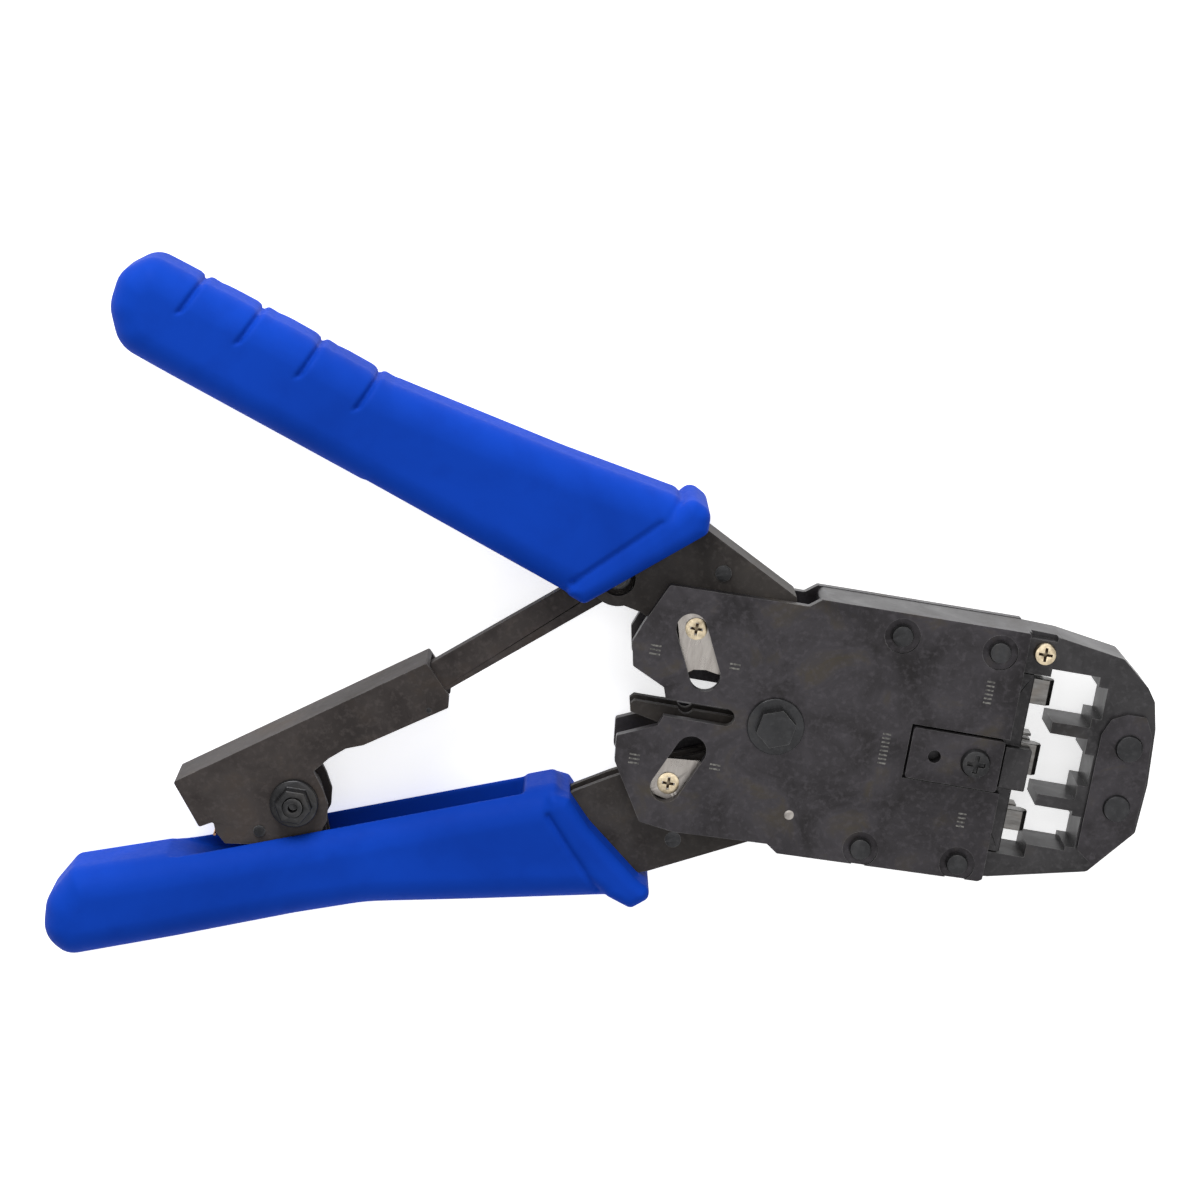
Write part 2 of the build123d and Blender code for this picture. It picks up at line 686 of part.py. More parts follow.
with BuildPart() as ram:
    with BuildSketch(Plane.XY.offset(ram_level)):
        with Locations(((ram_arm_rear + ram_face) / 2, 0)):
            Rectangle(ram_face - ram_arm_rear, 2 * ram_half_width)
        with Locations(((ram_arm_rear - overcut + ram_rear) / 2, 0)):
            Rectangle(ram_rear - ram_arm_rear + overcut, 2 * ram_arm_inner, mode=Mode.SUBTRACT)
        with Locations(retainer_screw_spot):
            Circle(retainer_screw_radius, mode=Mode.SUBTRACT)
    extrude(amount=ram_height)
    with BuildSketch(Plane.XY.offset(ram_level + ram_height)):
        with Locations((sum(ram_block_x) / 2, sum(ram_block_y) / 2)):
            Rectangle(ram_block_x[1] - ram_block_x[0], ram_block_y[1] - ram_block_y[0])
    extrude(amount=ram_block_height)
    with BuildSketch(Plane.XY.offset(ram_level + ram_height)):
        with Locations(((ram_face + ram_block_x[1]) / 2, sum(ram_block_y) / 2)):
            Rectangle(ram_block_x[1] - ram_face, ram_block_y[1] - ram_block_y[0])
    extrude(amount=-1.0)
save(ram.part, "ram")

with BuildPart() as retainer_bar:
    with BuildSketch(Plane.XY.offset(ram_level + ram_height)):
        with Locations((sum(retainer_x) / 2, sum(retainer_y) / 2)):
            RectangleRounded(retainer_x[1] - retainer_x[0], retainer_y[1] - retainer_y[0], 0.6)
        with Locations(retainer_hole_spot):
            Circle(retainer_hole_radius, mode=Mode.SUBTRACT)
        with Locations(retainer_screw_spot):
            Circle(retainer_screw_radius, mode=Mode.SUBTRACT)
    extrude(amount=retainer_thickness)
save(retainer_bar.part, "retainer_bar")

retainer_top = ram_level + ram_height + retainer_thickness

with BuildPart() as retainer_screw:
    with BuildSketch(Plane.XY.offset(retainer_screw_start)):
        with Locations(retainer_screw_spot):
            Circle(retainer_screw_radius)
    extrude(amount=retainer_top - retainer_screw_start)
    with BuildSketch(Plane.XY.offset(retainer_top)):
        with Locations(retainer_screw_spot):
            Circle(retainer_screw_head_radius)
    extrude(amount=retainer_screw_head, taper=14)
    with BuildSketch(Plane.XY.offset(retainer_top + retainer_screw_head)):
        with Locations(retainer_screw_spot):
            Rectangle(retainer_cross[0], retainer_cross[1])
            Rectangle(retainer_cross[1], retainer_cross[0])
    extrude(amount=-0.85 * retainer_screw_head, mode=Mode.SUBTRACT)
save(retainer_screw.part, "retainer_screw")

comb_spine = 0.9
tooth_width = 0.5
comb_margin = 0.5
strain_width_share = 0.5
for size, (low, high, contacts) in plug_windows.items():
    middle = (low + high) / 2
    comb_low = low + comb_margin
    comb_high = min(high - comb_margin, ram_half_width)
    with BuildPart() as punch_comb:
        with BuildSketch(Plane.XY.offset(comb_level)):
            with Locations((ram_face + comb_spine / 2, (comb_low + comb_high) / 2)):
                Rectangle(comb_spine, comb_high - comb_low)
            for contact in range(contacts):
                contact_y = middle + (contact - (contacts - 1) / 2) * contact_pitch
                with Locations((ram_face + comb_reach / 2, contact_y)):
                    Rectangle(comb_reach, tooth_width)
        extrude(amount=comb_height)
    save(punch_comb.part, f"punch_comb_{size}")

    with BuildPart() as strain_bar:
        with BuildSketch(Plane.XY.offset(strain_level)):
            with Locations((ram_face + strain_reach / 2, middle)):
                Rectangle(strain_reach, (high - low) * strain_width_share)
        extrude(amount=strain_height)
        tip = strain_bar.edges().filter_by(Axis.Y).sort_by(Axis.X)[-2:]
        chamfer(tip, 0.9)
    save(strain_bar.part, f"strain_bar_{size}")

# ---- Ratchet link -------------------------------------------------------------------------------
housing_edge = [
    (-107.9, -30.1),
    (-65.3, 0.3),
    (-60.2, -5.2),
    (-60.0, -7.4),
    (-74.3, -17.1),
    (-77.4, -18.3),
    (-80.2, -20.7),
    (-82.6, -23.6),
    (-80.5, -26.6),
    (-79.0, -29.5),
    (-78.7, -32.6),
    (-79.6, -35.2),
    (-83.0, -36.4),
    (-91.0, -39.3),
    (-96.7, -40.1),
    (-98.8, -38.1),
    (-99.4, -36.4),
    (-101.9, -37.8),
]
housing_back = housing_edge[:2]
back_inner = shifted_line(housing_back, -housing_web)
pawl_pivot = along_bar(-8.5, -1.5)
pawl_pin_radius = 1.1
web_end_drop = 7.3
ratchet_bolt_clearance = 0.05
guide_pin_radius = 0.5
guide_pin_spot = along_bar(30.5, bar_offset - bar_half_height - guide_pin_radius - 0.15)

with BuildPart() as ratchet_housing:
    with BuildSketch(Plane.XY.offset(housing_bottom)):
        add(outline(housing_edge, 0.4))
        with Locations(ratchet_pivot):
            Circle(ratchet_bolt_radius + ratchet_bolt_clearance, mode=Mode.SUBTRACT)
        with Locations(pawl_pivot):
            Circle(pawl_pin_radius, mode=Mode.SUBTRACT)
        with Locations(guide_pin_spot):
            Circle(guide_pin_radius, mode=Mode.SUBTRACT)
    extrude(amount=housing_top - housing_bottom)
    with BuildSketch(Plane.XY.offset(housing_bottom + housing_sheet)):
        below_web = [(-118, back_inner[0][1] - web_end_drop), *back_inner, (-50, 10), (-50, -50), (-118, -50)]
        add(outline(below_web))
    extrude(amount=housing_top - housing_bottom - 2 * housing_sheet, mode=Mode.SUBTRACT)
save(ratchet_housing.part, "ratchet_housing")

bar_bottom = lever_mid - bar_thickness / 2
lower_edge = bar_offset - bar_half_height
upper_edge = bar_offset + bar_half_height

with BuildPart() as ratchet_bar:
    with BuildSketch(Plane.XY.offset(bar_bottom)):
        corners = [(bar_tail, lower_edge), (link_reach, lower_edge)]
        corners += [(link_reach, upper_edge), (bar_tail + 1, upper_edge)]
        add(outline([along_bar(*corner) for corner in corners]))
        with Locations(link_pivot):
            Circle(bar_half_height)
            Circle(link_pin_radius, mode=Mode.SUBTRACT)
        for tooth in range(tooth_count):
            root = bar_tail + 1.0 + tooth * tooth_pitch
            run_out = root + tooth_pitch * 0.85
            notch = [(root, lower_edge), (run_out, lower_edge), (root, lower_edge + tooth_depth)]
            add(outline([along_bar(*corner) for corner in notch]), mode=Mode.SUBTRACT)
    extrude(amount=bar_thickness)
save(ratchet_bar.part, "ratchet_bar")

with BuildPart() as link_pin:
    with BuildSketch(Plane.XY.offset(outer_lever_bottom)):
        with Locations(link_pivot):
            Circle(link_pin_radius)
    extrude(amount=outer_lever_top - outer_lever_bottom)
save(link_pin.part, "link_pin")

link_spacer_gap = 0.2
link_spacer_radius = 2.5
with BuildPart() as link_spacers:
    for low, high in (
        (outer_lever_bottom + lever_sheet + link_spacer_gap, bar_bottom),
        (bar_bottom + bar_thickness, outer_lever_top - lever_sheet - link_spacer_gap),
    ):
        with BuildSketch(Plane.XY.offset(low)):
            with Locations(link_pivot):
                Circle(link_spacer_radius)
                Circle(link_pin_radius, mode=Mode.SUBTRACT)
        extrude(amount=high - low)
save(link_spacers.part, "link_spacers")

bolt_head_thickness = 2.0
bolt_head_radius = 3.4
nut_flange_height = 1.6
nut_flange_radius = 4.5
nut_height = 4.2
nut_half_flats = 3.0
spacer_radius = 3.3
nut_gap = 0.1
with BuildPart() as ratchet_pivot_bolt:
    with BuildSketch(Plane.XY.offset(housing_bottom - bolt_head_thickness)):
        with Locations(ratchet_pivot):
            Circle(bolt_head_radius)
    extrude(amount=bolt_head_thickness)
    with BuildSketch(Plane.XY.offset(housing_bottom)):
        with Locations(ratchet_pivot):
            Circle(ratchet_bolt_radius)
    extrude(amount=housing_top - housing_bottom + nut_height + thread_end)
    with Locations((*ratchet_pivot, housing_top + nut_height + thread_end)):
        Hole(radius=0.9, depth=2.0)
save(ratchet_pivot_bolt.part, "ratchet_pivot_bolt")

with BuildPart() as ratchet_pivot_nut:
    with BuildSketch(Plane.XY.offset(housing_top + nut_gap)):
        with Locations(ratchet_pivot):
            Circle(nut_flange_radius)
            Circle(ratchet_bolt_radius, mode=Mode.SUBTRACT)
    extrude(amount=nut_flange_height)
    with BuildSketch(Plane.XY.offset(housing_top + nut_gap + nut_flange_height)):
        with Locations(ratchet_pivot):
            RegularPolygon(radius=nut_half_flats, side_count=6, major_radius=False)
            Circle(ratchet_bolt_radius, mode=Mode.SUBTRACT)
    extrude(amount=nut_height - nut_flange_height - nut_gap)
save(ratchet_pivot_nut.part, "ratchet_pivot_nut")

with BuildPart() as ratchet_spacers:
    for low, high in (
        (housing_bottom + housing_sheet + lever_gap, inner_lever_bottom),
        (inner_lever_top, housing_top - housing_sheet - lever_gap),
    ):
        with BuildSketch(Plane.XY.offset(low)):
            with Locations(ratchet_pivot):
                Circle(spacer_radius)
                Circle(ratchet_bolt_radius, mode=Mode.SUBTRACT)
        extrude(amount=high - low)
save(ratchet_spacers.part, "ratchet_spacers")

pawl_half = 1.3
pawl_boss_radius = 2.3
pawl_pin_rise = 0.3
with BuildPart() as pawl:
    with BuildSketch(Plane.XY.offset(lever_mid - pawl_half)):
        pawl_edge = [(-3.6, 2.85), (-5.0, 2.0), (-10.4, -0.2), (-13.2, 0.2)]
        pawl_edge += [(-12.4, -2.4), (-8.5, -3.9), (-5.8, -2.0)]
        add(outline([along_bar(*corner) for corner in pawl_edge]))
        with Locations(pawl_pivot):
            Circle(pawl_boss_radius)
            Circle(pawl_pin_radius + ratchet_bolt_clearance, mode=Mode.SUBTRACT)
    extrude(amount=2 * pawl_half)
save(pawl.part, "pawl")

with BuildPart() as pawl_pin:
    with BuildSketch(Plane.XY.offset(housing_bottom - pawl_pin_rise)):
        with Locations(pawl_pivot):
            Circle(pawl_pin_radius)
    extrude(amount=housing_top - housing_bottom + 2 * pawl_pin_rise)
save(pawl_pin.part, "pawl_pin")

with BuildPart() as guide_pin:
    with BuildSketch(Plane.XY.offset(housing_bottom)):
        with Locations(guide_pin_spot):
            Circle(guide_pin_radius)
    extrude(amount=housing_top - housing_bottom)
save(guide_pin.part, "guide_pin")

coil_radius = 1.0
coil_wire = 0.28
coil_turns = 5
coil_level = 13.3
coil_start = along_bar(-13.0, 0.2)
coil_end = along_bar(-16.2, 2.4)
coil_length = hypot(coil_end[0] - coil_start[0], coil_end[1] - coil_start[1])
coil_direction = (coil_end[0] - coil_start[0], coil_end[1] - coil_start[1], 0)
with BuildPart() as pawl_spring:
    with BuildLine() as coil_path:
        Helix(coil_length / coil_turns, coil_length, coil_radius, (*coil_start, coil_level), coil_direction)
    with BuildSketch(Plane(origin=coil_path.line @ 0, z_dir=coil_path.line % 0)):
        Circle(coil_wire)
    sweep(path=coil_path.wires()[0], is_frenet=True)
save(pawl_spring.part, "pawl_spring")
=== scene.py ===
"""Looks of the modular-plug crimping tool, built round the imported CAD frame."""
import json
from math import cos, pi, radians, sin, tan

import bpy
import numpy as np
from mathutils import Matrix, Vector


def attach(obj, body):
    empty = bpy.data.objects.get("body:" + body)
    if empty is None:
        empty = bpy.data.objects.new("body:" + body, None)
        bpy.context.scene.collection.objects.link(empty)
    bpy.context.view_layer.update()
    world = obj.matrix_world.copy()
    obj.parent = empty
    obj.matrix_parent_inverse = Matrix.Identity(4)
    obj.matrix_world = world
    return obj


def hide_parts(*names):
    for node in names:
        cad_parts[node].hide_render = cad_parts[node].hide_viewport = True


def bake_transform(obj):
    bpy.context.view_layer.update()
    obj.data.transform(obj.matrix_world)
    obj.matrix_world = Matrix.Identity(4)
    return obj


MM = 0.001
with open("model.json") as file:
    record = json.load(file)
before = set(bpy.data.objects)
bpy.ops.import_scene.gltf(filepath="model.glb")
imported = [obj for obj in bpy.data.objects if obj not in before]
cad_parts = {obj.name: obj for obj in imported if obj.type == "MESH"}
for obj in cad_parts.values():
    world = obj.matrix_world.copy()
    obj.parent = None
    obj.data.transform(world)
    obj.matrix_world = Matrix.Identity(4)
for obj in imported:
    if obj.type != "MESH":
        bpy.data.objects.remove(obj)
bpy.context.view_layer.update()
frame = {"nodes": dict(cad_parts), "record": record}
nodes = frame["nodes"]
slot_of = {part["node"]: part["material_slot"] for part in frame["record"]["subparts"]}
scene = bpy.context.scene


# ---- Materials -----------------------------------------------------------------------------------
RUBBED_STEEL = (0.30, 0.295, 0.29)
# Dark brown that paints shade into recesses.
RECESS_PAINTED_SHADE = (0.035, 0.022, 0.014)


class Shader:
    """A small helper for building one procedural material."""

    def __init__(self, name):
        self.material = bpy.data.materials.new(name)
        self.material.use_nodes = True
        self.tree = self.material.node_tree
        self.bsdf = self.tree.nodes["Principled BSDF"]
        coordinates = self.tree.nodes.new("ShaderNodeTexCoord")
        self.place = coordinates.outputs["Object"]

    def link(self, source, target):
        self.tree.links.new(source, target)

    def set(self, **values):
        """Constants straight on the shader's sockets."""
        for name, value in values.items():
            self.bsdf.inputs[name.replace("_", " ")].default_value = value

    def noise(self, scale, detail=3.0, roughness=0.55, stretch=None, distortion=0.0):
        """Noise whose scale is given in bumps per metre."""
        node = self.tree.nodes.new("ShaderNodeTexNoise")
        node.inputs["Scale"].default_value = scale
        node.inputs["Detail"].default_value = detail
        node.inputs["Roughness"].default_value = roughness
        node.inputs["Distortion"].default_value = distortion
        source = self.place
        if stretch:
            mapping = self.tree.nodes.new("ShaderNodeMapping")
            mapping.inputs["Scale"].default_value = stretch
            self.link(self.place, mapping.inputs["Vector"])
            source = mapping.outputs["Vector"]
        self.link(source, node.inputs["Vector"])
        return node.outputs["Fac"]

    def ramp(self, value, stops):
        """Colours for a value, from (position, colour) stops."""
        node = self.tree.nodes.new("ShaderNodeValToRGB")
        elements = node.color_ramp.elements
        while len(elements) < len(stops):
            elements.new(0.5)
        for element, (position, colour) in zip(elements, stops):
            element.position = position
            element.color = (*colour, 1.0) if len(colour) == 3 else colour
        self.link(value, node.inputs["Fac"])
        return node.outputs["Color"]

    def grey(self, value, low, high, start=0.3, end=0.7):
        """A value spread between two levels."""
        node = self.tree.nodes.new("ShaderNodeMapRange")
        node.inputs["From Min"].default_value = start
        node.inputs["From Max"].default_value = end
        node.inputs["To Min"].default_value = low
        node.inputs["To Max"].default_value = high
        self.link(value, node.inputs["Value"])
        return node.outputs["Result"]

    def mix(self, factor, first, second):
        """The first colour turning into the second as the factor rises. Each may be a constant."""
        node = self.tree.nodes.new("ShaderNodeMix")
        node.data_type = "RGBA"
        sockets = node.inputs[0], node.inputs[6], node.inputs[7]
        for socket, value in zip(sockets, (factor, first, second)):
            if isinstance(value, (int, float)):
                socket.default_value = value
            elif isinstance(value, tuple):
                socket.default_value = (*value, 1.0)
            else:
                self.link(value, socket)
        return node.outputs[2]

    def edges(self, radius, start=0.06, end=0.35):
        """1 on edges that a bevel of this radius would round, 0 on flats."""
        bevel = self.tree.nodes.new("ShaderNodeBevel")
        bevel.samples = 6
        bevel.inputs["Radius"].default_value = radius
        geometry = self.tree.nodes.new("ShaderNodeNewGeometry")
        dot = self.tree.nodes.new("ShaderNodeVectorMath")
        dot.operation = "DOT_PRODUCT"
        self.link(bevel.outputs["Normal"], dot.inputs[0])
        self.link(geometry.outputs["Normal"], dot.inputs[1])
        node = self.tree.nodes.new("ShaderNodeMapRange")
        node.inputs["From Min"].default_value = 1.0 - start
        node.inputs["From Max"].default_value = 1.0 - end
        self.link(dot.outputs["Value"], node.inputs["Value"])
        return node.outputs["Result"]

    def shelter(self, distance):
        """1 in the open, falling to 0 in recesses and against steps nearer than the distance."""
        node = self.tree.nodes.new("ShaderNodeAmbientOcclusion")
        node.samples = 8
        node.inputs["Distance"].default_value = distance
        return node.outputs["AO"]

    def times(self, first, second):
        """Product of two values, either of which may be a constant."""
        node = self.tree.nodes.new("ShaderNodeMath")
        node.operation = "MULTIPLY"
        for socket, value in zip(node.inputs, (first, second)):
            if isinstance(value, (int, float)):
                socket.default_value = value
            else:
                self.link(value, socket)
        return node.outputs["Value"]

    def bump(self, *layers):
        """Stacks bump layers given as (height, strength, distance in metres)."""
        normal = None
        for height, strength, distance in layers:
            node = self.tree.nodes.new("ShaderNodeBump")
            node.inputs["Strength"].default_value = strength
            node.inputs["Distance"].default_value = distance
            self.link(height, node.inputs["Height"])
            if normal:
                self.link(normal, node.inputs["Normal"])
            normal = node.outputs["Normal"]
        self.link(normal, self.bsdf.inputs["Normal"])

    def colour(self, source):
        self.link(source, self.bsdf.inputs["Base Color"])

    def rough(self, source):
        self.link(source, self.bsdf.inputs["Roughness"])


def black_steel(name, dark, light, tint, wear=0.5, gloss=(0.34, 0.52), metal=0.75, shine=0.4):
    """Black-oxide steel: blotchy cloud of tints, fine tooth, and paler rubbed edges."""
    m = Shader(name)
    m.set(Metallic=metal, IOR=1.5, Specular_IOR_Level=shine)
    cloud = m.noise(95.0, 5.0, 0.62, distortion=0.6)
    speck = m.noise(900.0, 3.0, 0.6)
    patch = m.noise(38.0, 4.0, 0.55, distortion=1.2)
    base = m.ramp(cloud, [(0.30, dark), (0.55, light), (0.72, tint)])
    base = m.mix(m.grey(patch, 0.0, 0.55, 0.48, 0.72), base, tuple(c * 0.45 for c in dark))
    base = m.mix(m.grey(speck, 0.0, 0.35, 0.5, 0.75), base, tuple(min(1.0, c * 1.9) for c in light))
    pale_edge = m.times(m.edges(0.00028), m.grey(m.noise(420.0, 3.0), 0.1, wear, 0.35, 0.65))
    m.colour(m.mix(pale_edge, base, RUBBED_STEEL))
    m.rough(m.grey(cloud, *gloss))
    grain = m.noise(2600.0, 2.0, 0.6)
    m.bump((cloud, 0.10, 0.00012), (speck, 0.16, 0.00004), (grain, 0.12, 0.00002))
    return m.material


def bright_metal(
    name, dark, light, brush=(1.0, 1.0, 1.0), gloss=(0.22, 0.4), grime=(0.2, 0.17, 0.14),
    amount=0.5, recess=0.0,
):
    """Bare or plated metal with ground lines and stains, and painted shade in recesses narrower than
    recess.
    """
    m = Shader(name)
    m.set(Metallic=1.0)
    line = m.noise(1500.0, 3.0, 0.6, stretch=brush)
    stain = m.noise(260.0, 4.0, 0.6)
    base = m.ramp(line, [(0.3, dark), (0.7, light)])
    base = m.mix(m.grey(stain, 0.0, amount, 0.5, 0.75), base, grime)
    # Painted shade: where ambient occlusion finds a recess, the colour turns to dark brown.
    if recess:
        base = m.mix(m.grey(m.shelter(recess), 1.0, 0.0, 0.55, 0.92), base, RECESS_PAINTED_SHADE)
    m.colour(base)
    m.rough(m.grey(stain, *gloss))
    m.bump((line, 0.22, 0.00002), (stain, 0.08, 0.00005))
    return m.material


def blue_vinyl():
    """Moulded soft vinyl: satin blue with flow clouding, a painted highlight on its sharper edges and a
    fine leathery tooth.
    """
    m = Shader("satin_blue_vinyl")
    m.set(IOR=1.46, Specular_IOR_Level=0.03)
    flow = m.noise(26.0, 4.0, 0.55, distortion=0.8)
    cloud = m.noise(140.0, 4.0, 0.6)
    tooth = m.noise(3600.0, 2.0, 0.7)
    pore = m.noise(1100.0, 3.0, 0.6)
    base = m.ramp(flow, [(0.32, (0.0035, 0.038, 0.33)), (0.62, (0.0045, 0.048, 0.41))])
    base = m.mix(m.grey(cloud, 0.0, 0.35, 0.5, 0.8), base, (0.003, 0.030, 0.28))
    # Painted highlight: the sharper edges of the moulding are mixed towards a lighter blue, patchy with
    # the clouding.
    pale_edge = m.times(m.edges(0.0006, 0.04, 0.3), m.grey(cloud, 0.0, 0.28))
    m.colour(m.mix(pale_edge, base, (0.012, 0.09, 0.60)))
    m.rough(m.grey(pore, 0.50, 0.62))
    m.bump((cloud, 0.10, 0.0002), (pore, 0.10, 0.00006), (tooth, 0.12, 0.00003))
    return m.material


def mark_paint():
    """Thin pale print, worn through in places."""
    m = Shader("worn_grey_print")
    wear = m.noise(1500.0, 4.0, 0.65)
    m.colour(m.ramp(wear, [(0.42, (0.055, 0.053, 0.05)), (0.6, (0.19, 0.185, 0.17))]))
    m.rough(m.grey(wear, 0.5, 0.7))
    m.set(Metallic=0.2)
    return m.material


finishes = {
    "plate_steel": black_steel(
        "plate_black_oxide", (0.021, 0.019, 0.020), (0.051, 0.047, 0.052), (0.066, 0.056, 0.042)
    ),
    "frame_steel": black_steel(
        "frame_black_oxide", (0.026, 0.025, 0.026), (0.050, 0.048, 0.050), (0.060, 0.055, 0.052)
    ),
    "lever_steel": black_steel(
        "lever_black_oxide", (0.026, 0.022, 0.020), (0.045, 0.040, 0.037), (0.055, 0.045, 0.036),
        gloss=(0.5, 0.65), metal=0.0, shine=0.12,
    ),
    "link_steel": black_steel(
        "link_black_oxide", (0.029, 0.024, 0.023), (0.049, 0.042, 0.040), (0.058, 0.046, 0.039),
        gloss=(0.5, 0.65), metal=0.0, shine=0.12,
    ),
    "fastener_steel": black_steel(
        "fastener_black", (0.020, 0.020, 0.021), (0.040, 0.040, 0.042), (0.055, 0.052, 0.050),
        wear=0.7, gloss=(0.26, 0.42),
    ),
    "die_steel": bright_metal(
        "die_ground_steel", (0.11, 0.105, 0.10), (0.20, 0.195, 0.19), (0.2, 1.0, 1.0)
    ),
    "blade_steel": bright_metal(
        "blade_ground_steel", (0.31, 0.285, 0.265), (0.40, 0.375, 0.35), (1.0, 0.15, 1.0), amount=0.06
    ),
    "spring_steel": bright_metal(
        "spring_wire_steel", (0.20, 0.20, 0.21), (0.34, 0.34, 0.35), amount=0.4
    ),
    # Its screw slots and rims get painted shade in their recesses.
    "pale_brass": bright_metal(
        "pale_yellow_plating", (0.52, 0.42, 0.28), (0.78, 0.67, 0.48),
        grime=(0.05, 0.035, 0.025), amount=0.6, recess=0.0009,
    ),
    "copper_spring": bright_metal(
        "coppery_wire", (0.50, 0.26, 0.14), (0.72, 0.42, 0.24), amount=0.3
    ),
    "blue_vinyl": blue_vinyl(),
}


# ---- CAD nodes: rounded edges and finishes -------------------------------------------------------
# Radii in mm.
edge_radius = {
    "near_side_plate": 0.28, "far_side_plate": 0.28, "die_frame": 0.35, "anvil_plate": 0.25,
    "anvil_rivets": 0.22, "frame_rivets": 0.2, "frame_screw": 0.12, "main_pivot_bolt": 0.2,
    "main_pivot_nut": 0.25, "pivot_washers": 0.15, "pivot_bush": 0.15, "plate_dowel": 0.15, "ram": 0.25,
    "punch_comb_8p": 0.06, "punch_comb_6p": 0.06, "punch_comb_4p": 0.06, "strain_bar_8p": 0.15,
    "strain_bar_6p": 0.15, "strain_bar_4p": 0.15, "retainer_bar": 0.25, "retainer_screw": 0.15,
    "upper_lever": 0.22, "lower_lever": 0.22, "upper_blade": 0.1, "lower_blade": 0.1,
    "upper_blade_screw": 0.08, "lower_blade_screw": 0.08, "upper_lever_rivet": 0.15,
    "lower_lever_rivet": 0.15, "ratchet_pivot_bolt": 0.2, "ratchet_pivot_nut": 0.25,
    "ratchet_spacers": 0.12, "ratchet_housing": 0.22, "pawl_pin": 0.15, "guide_pin": 0.15,
    "ratchet_bar": 0.2, "link_pin": 0.15, "link_spacers": 0.1, "pawl": 0.12,
}
WELD_DISTANCE = 0.002
SHARP_ANGLE = radians(32)

for name, radius in edge_radius.items():
    part = nodes[name]
    weld = part.modifiers.new("weld", "WELD")
    weld.merge_threshold = WELD_DISTANCE * MM
    bevel = part.modifiers.new("rounded_edges", "BEVEL")
    bevel.width = radius * MM
    bevel.segments = 2
    bevel.limit_method = "ANGLE"
    bevel.angle_limit = SHARP_ANGLE
    bevel.use_clamp_overlap = True
    normals = part.modifiers.new("flat_faces_stay_flat", "WEIGHTED_NORMAL")
    normals.keep_sharp = False
for name, part in nodes.items():
    part.data.materials.clear()
    part.data.materials.append(finishes[slot_of[name]])
# The dowel's ground end looks like bright steel.
nodes["plate_dowel"].data.materials[0] = finishes["blade_steel"]


# ---- Soft shapes from distance fields ------------------------------------------------------------
SMALLEST_ARC = 0.05
SIDE_SHARE = 0.46
SLOPE_STEP, GENTLEST_SLOPE = 0.02, 0.2


def rounded_corners(corners, radii, steps=5):
    """A closed outline with an arc in each corner. radii is one number or one per corner.

    No arc takes more than SIDE_SHARE of a side, and a corner tighter than SMALLEST_ARC stays sharp.
    """
    corners = [Vector(corner) for corner in corners]
    if isinstance(radii, (int, float)):
        radii = [radii] * len(corners)
    points = []
    for index, corner in enumerate(corners):
        before = corners[index - 1] - corner
        after = corners[(index + 1) % len(corners)] - corner
        first, second = before.normalized(), after.normalized()
        half = first.angle(second) / 2
        reach = min(radii[index] / tan(half), SIDE_SHARE * before.length, SIDE_SHARE * after.length)
        radius = reach * tan(half)
        if radius < SMALLEST_ARC:
            points.append(corner)
            continue
        centre = corner + (first + second).normalized() * (radius / sin(half))
        start, end = corner + first * reach - centre, corner + second * reach - centre
        turn = start.angle_signed(end)
        for step in range(steps + 1):
            angle = -turn * step / steps
            points.append(centre + Matrix.Rotation(angle, 2) @ start)
    return np.array([tuple(point) for point in points])


def flat_distance(x, y, outline):
    """Signed distance to a closed outline in the plane, negative inside."""
    nearest = np.full(x.shape, 1e9)
    inside = np.zeros(x.shape, bool)
    for (ax, ay), (bx, by) in zip(outline, np.roll(outline, -1, 0)):
        ex, ey = bx - ax, by - ay
        wx, wy = x - ax, y - ay
        along = np.clip((wx * ex + wy * ey) / (ex * ex + ey * ey), 0, 1)
        nearest = np.minimum(nearest, (wx - along * ex) ** 2 + (wy - along * ey) ** 2)
        if ey:
            inside ^= ((ay > y) != (by > y)) & (x < ex * (y - ay) / ey + ax)
    return np.where(inside, -1.0, 1.0) * np.sqrt(nearest)


def slab(side, z, low, high, radius):
    """Distance to an outline stood up between two levels, with its rims rounded."""
    middle, half = (low + high) / 2, (high - low) / 2
    out, cap = side + radius, np.abs(z - middle) - half + radius
    inner = np.minimum(np.maximum(out, cap), 0)
    return inner + np.hypot(np.maximum(out, 0), np.maximum(cap, 0)) - radius


def join(a, b, soft):
    """Union of two distances with a fillet between them."""
    share = np.clip(0.5 + 0.5 * (b - a) / soft, 0, 1)
    return b * (1 - share) + a * share - soft * share * (1 - share)


def cut(a, b, soft):
    """The first shape less the second, with a rounded rim."""
    return -join(-a, b, soft)


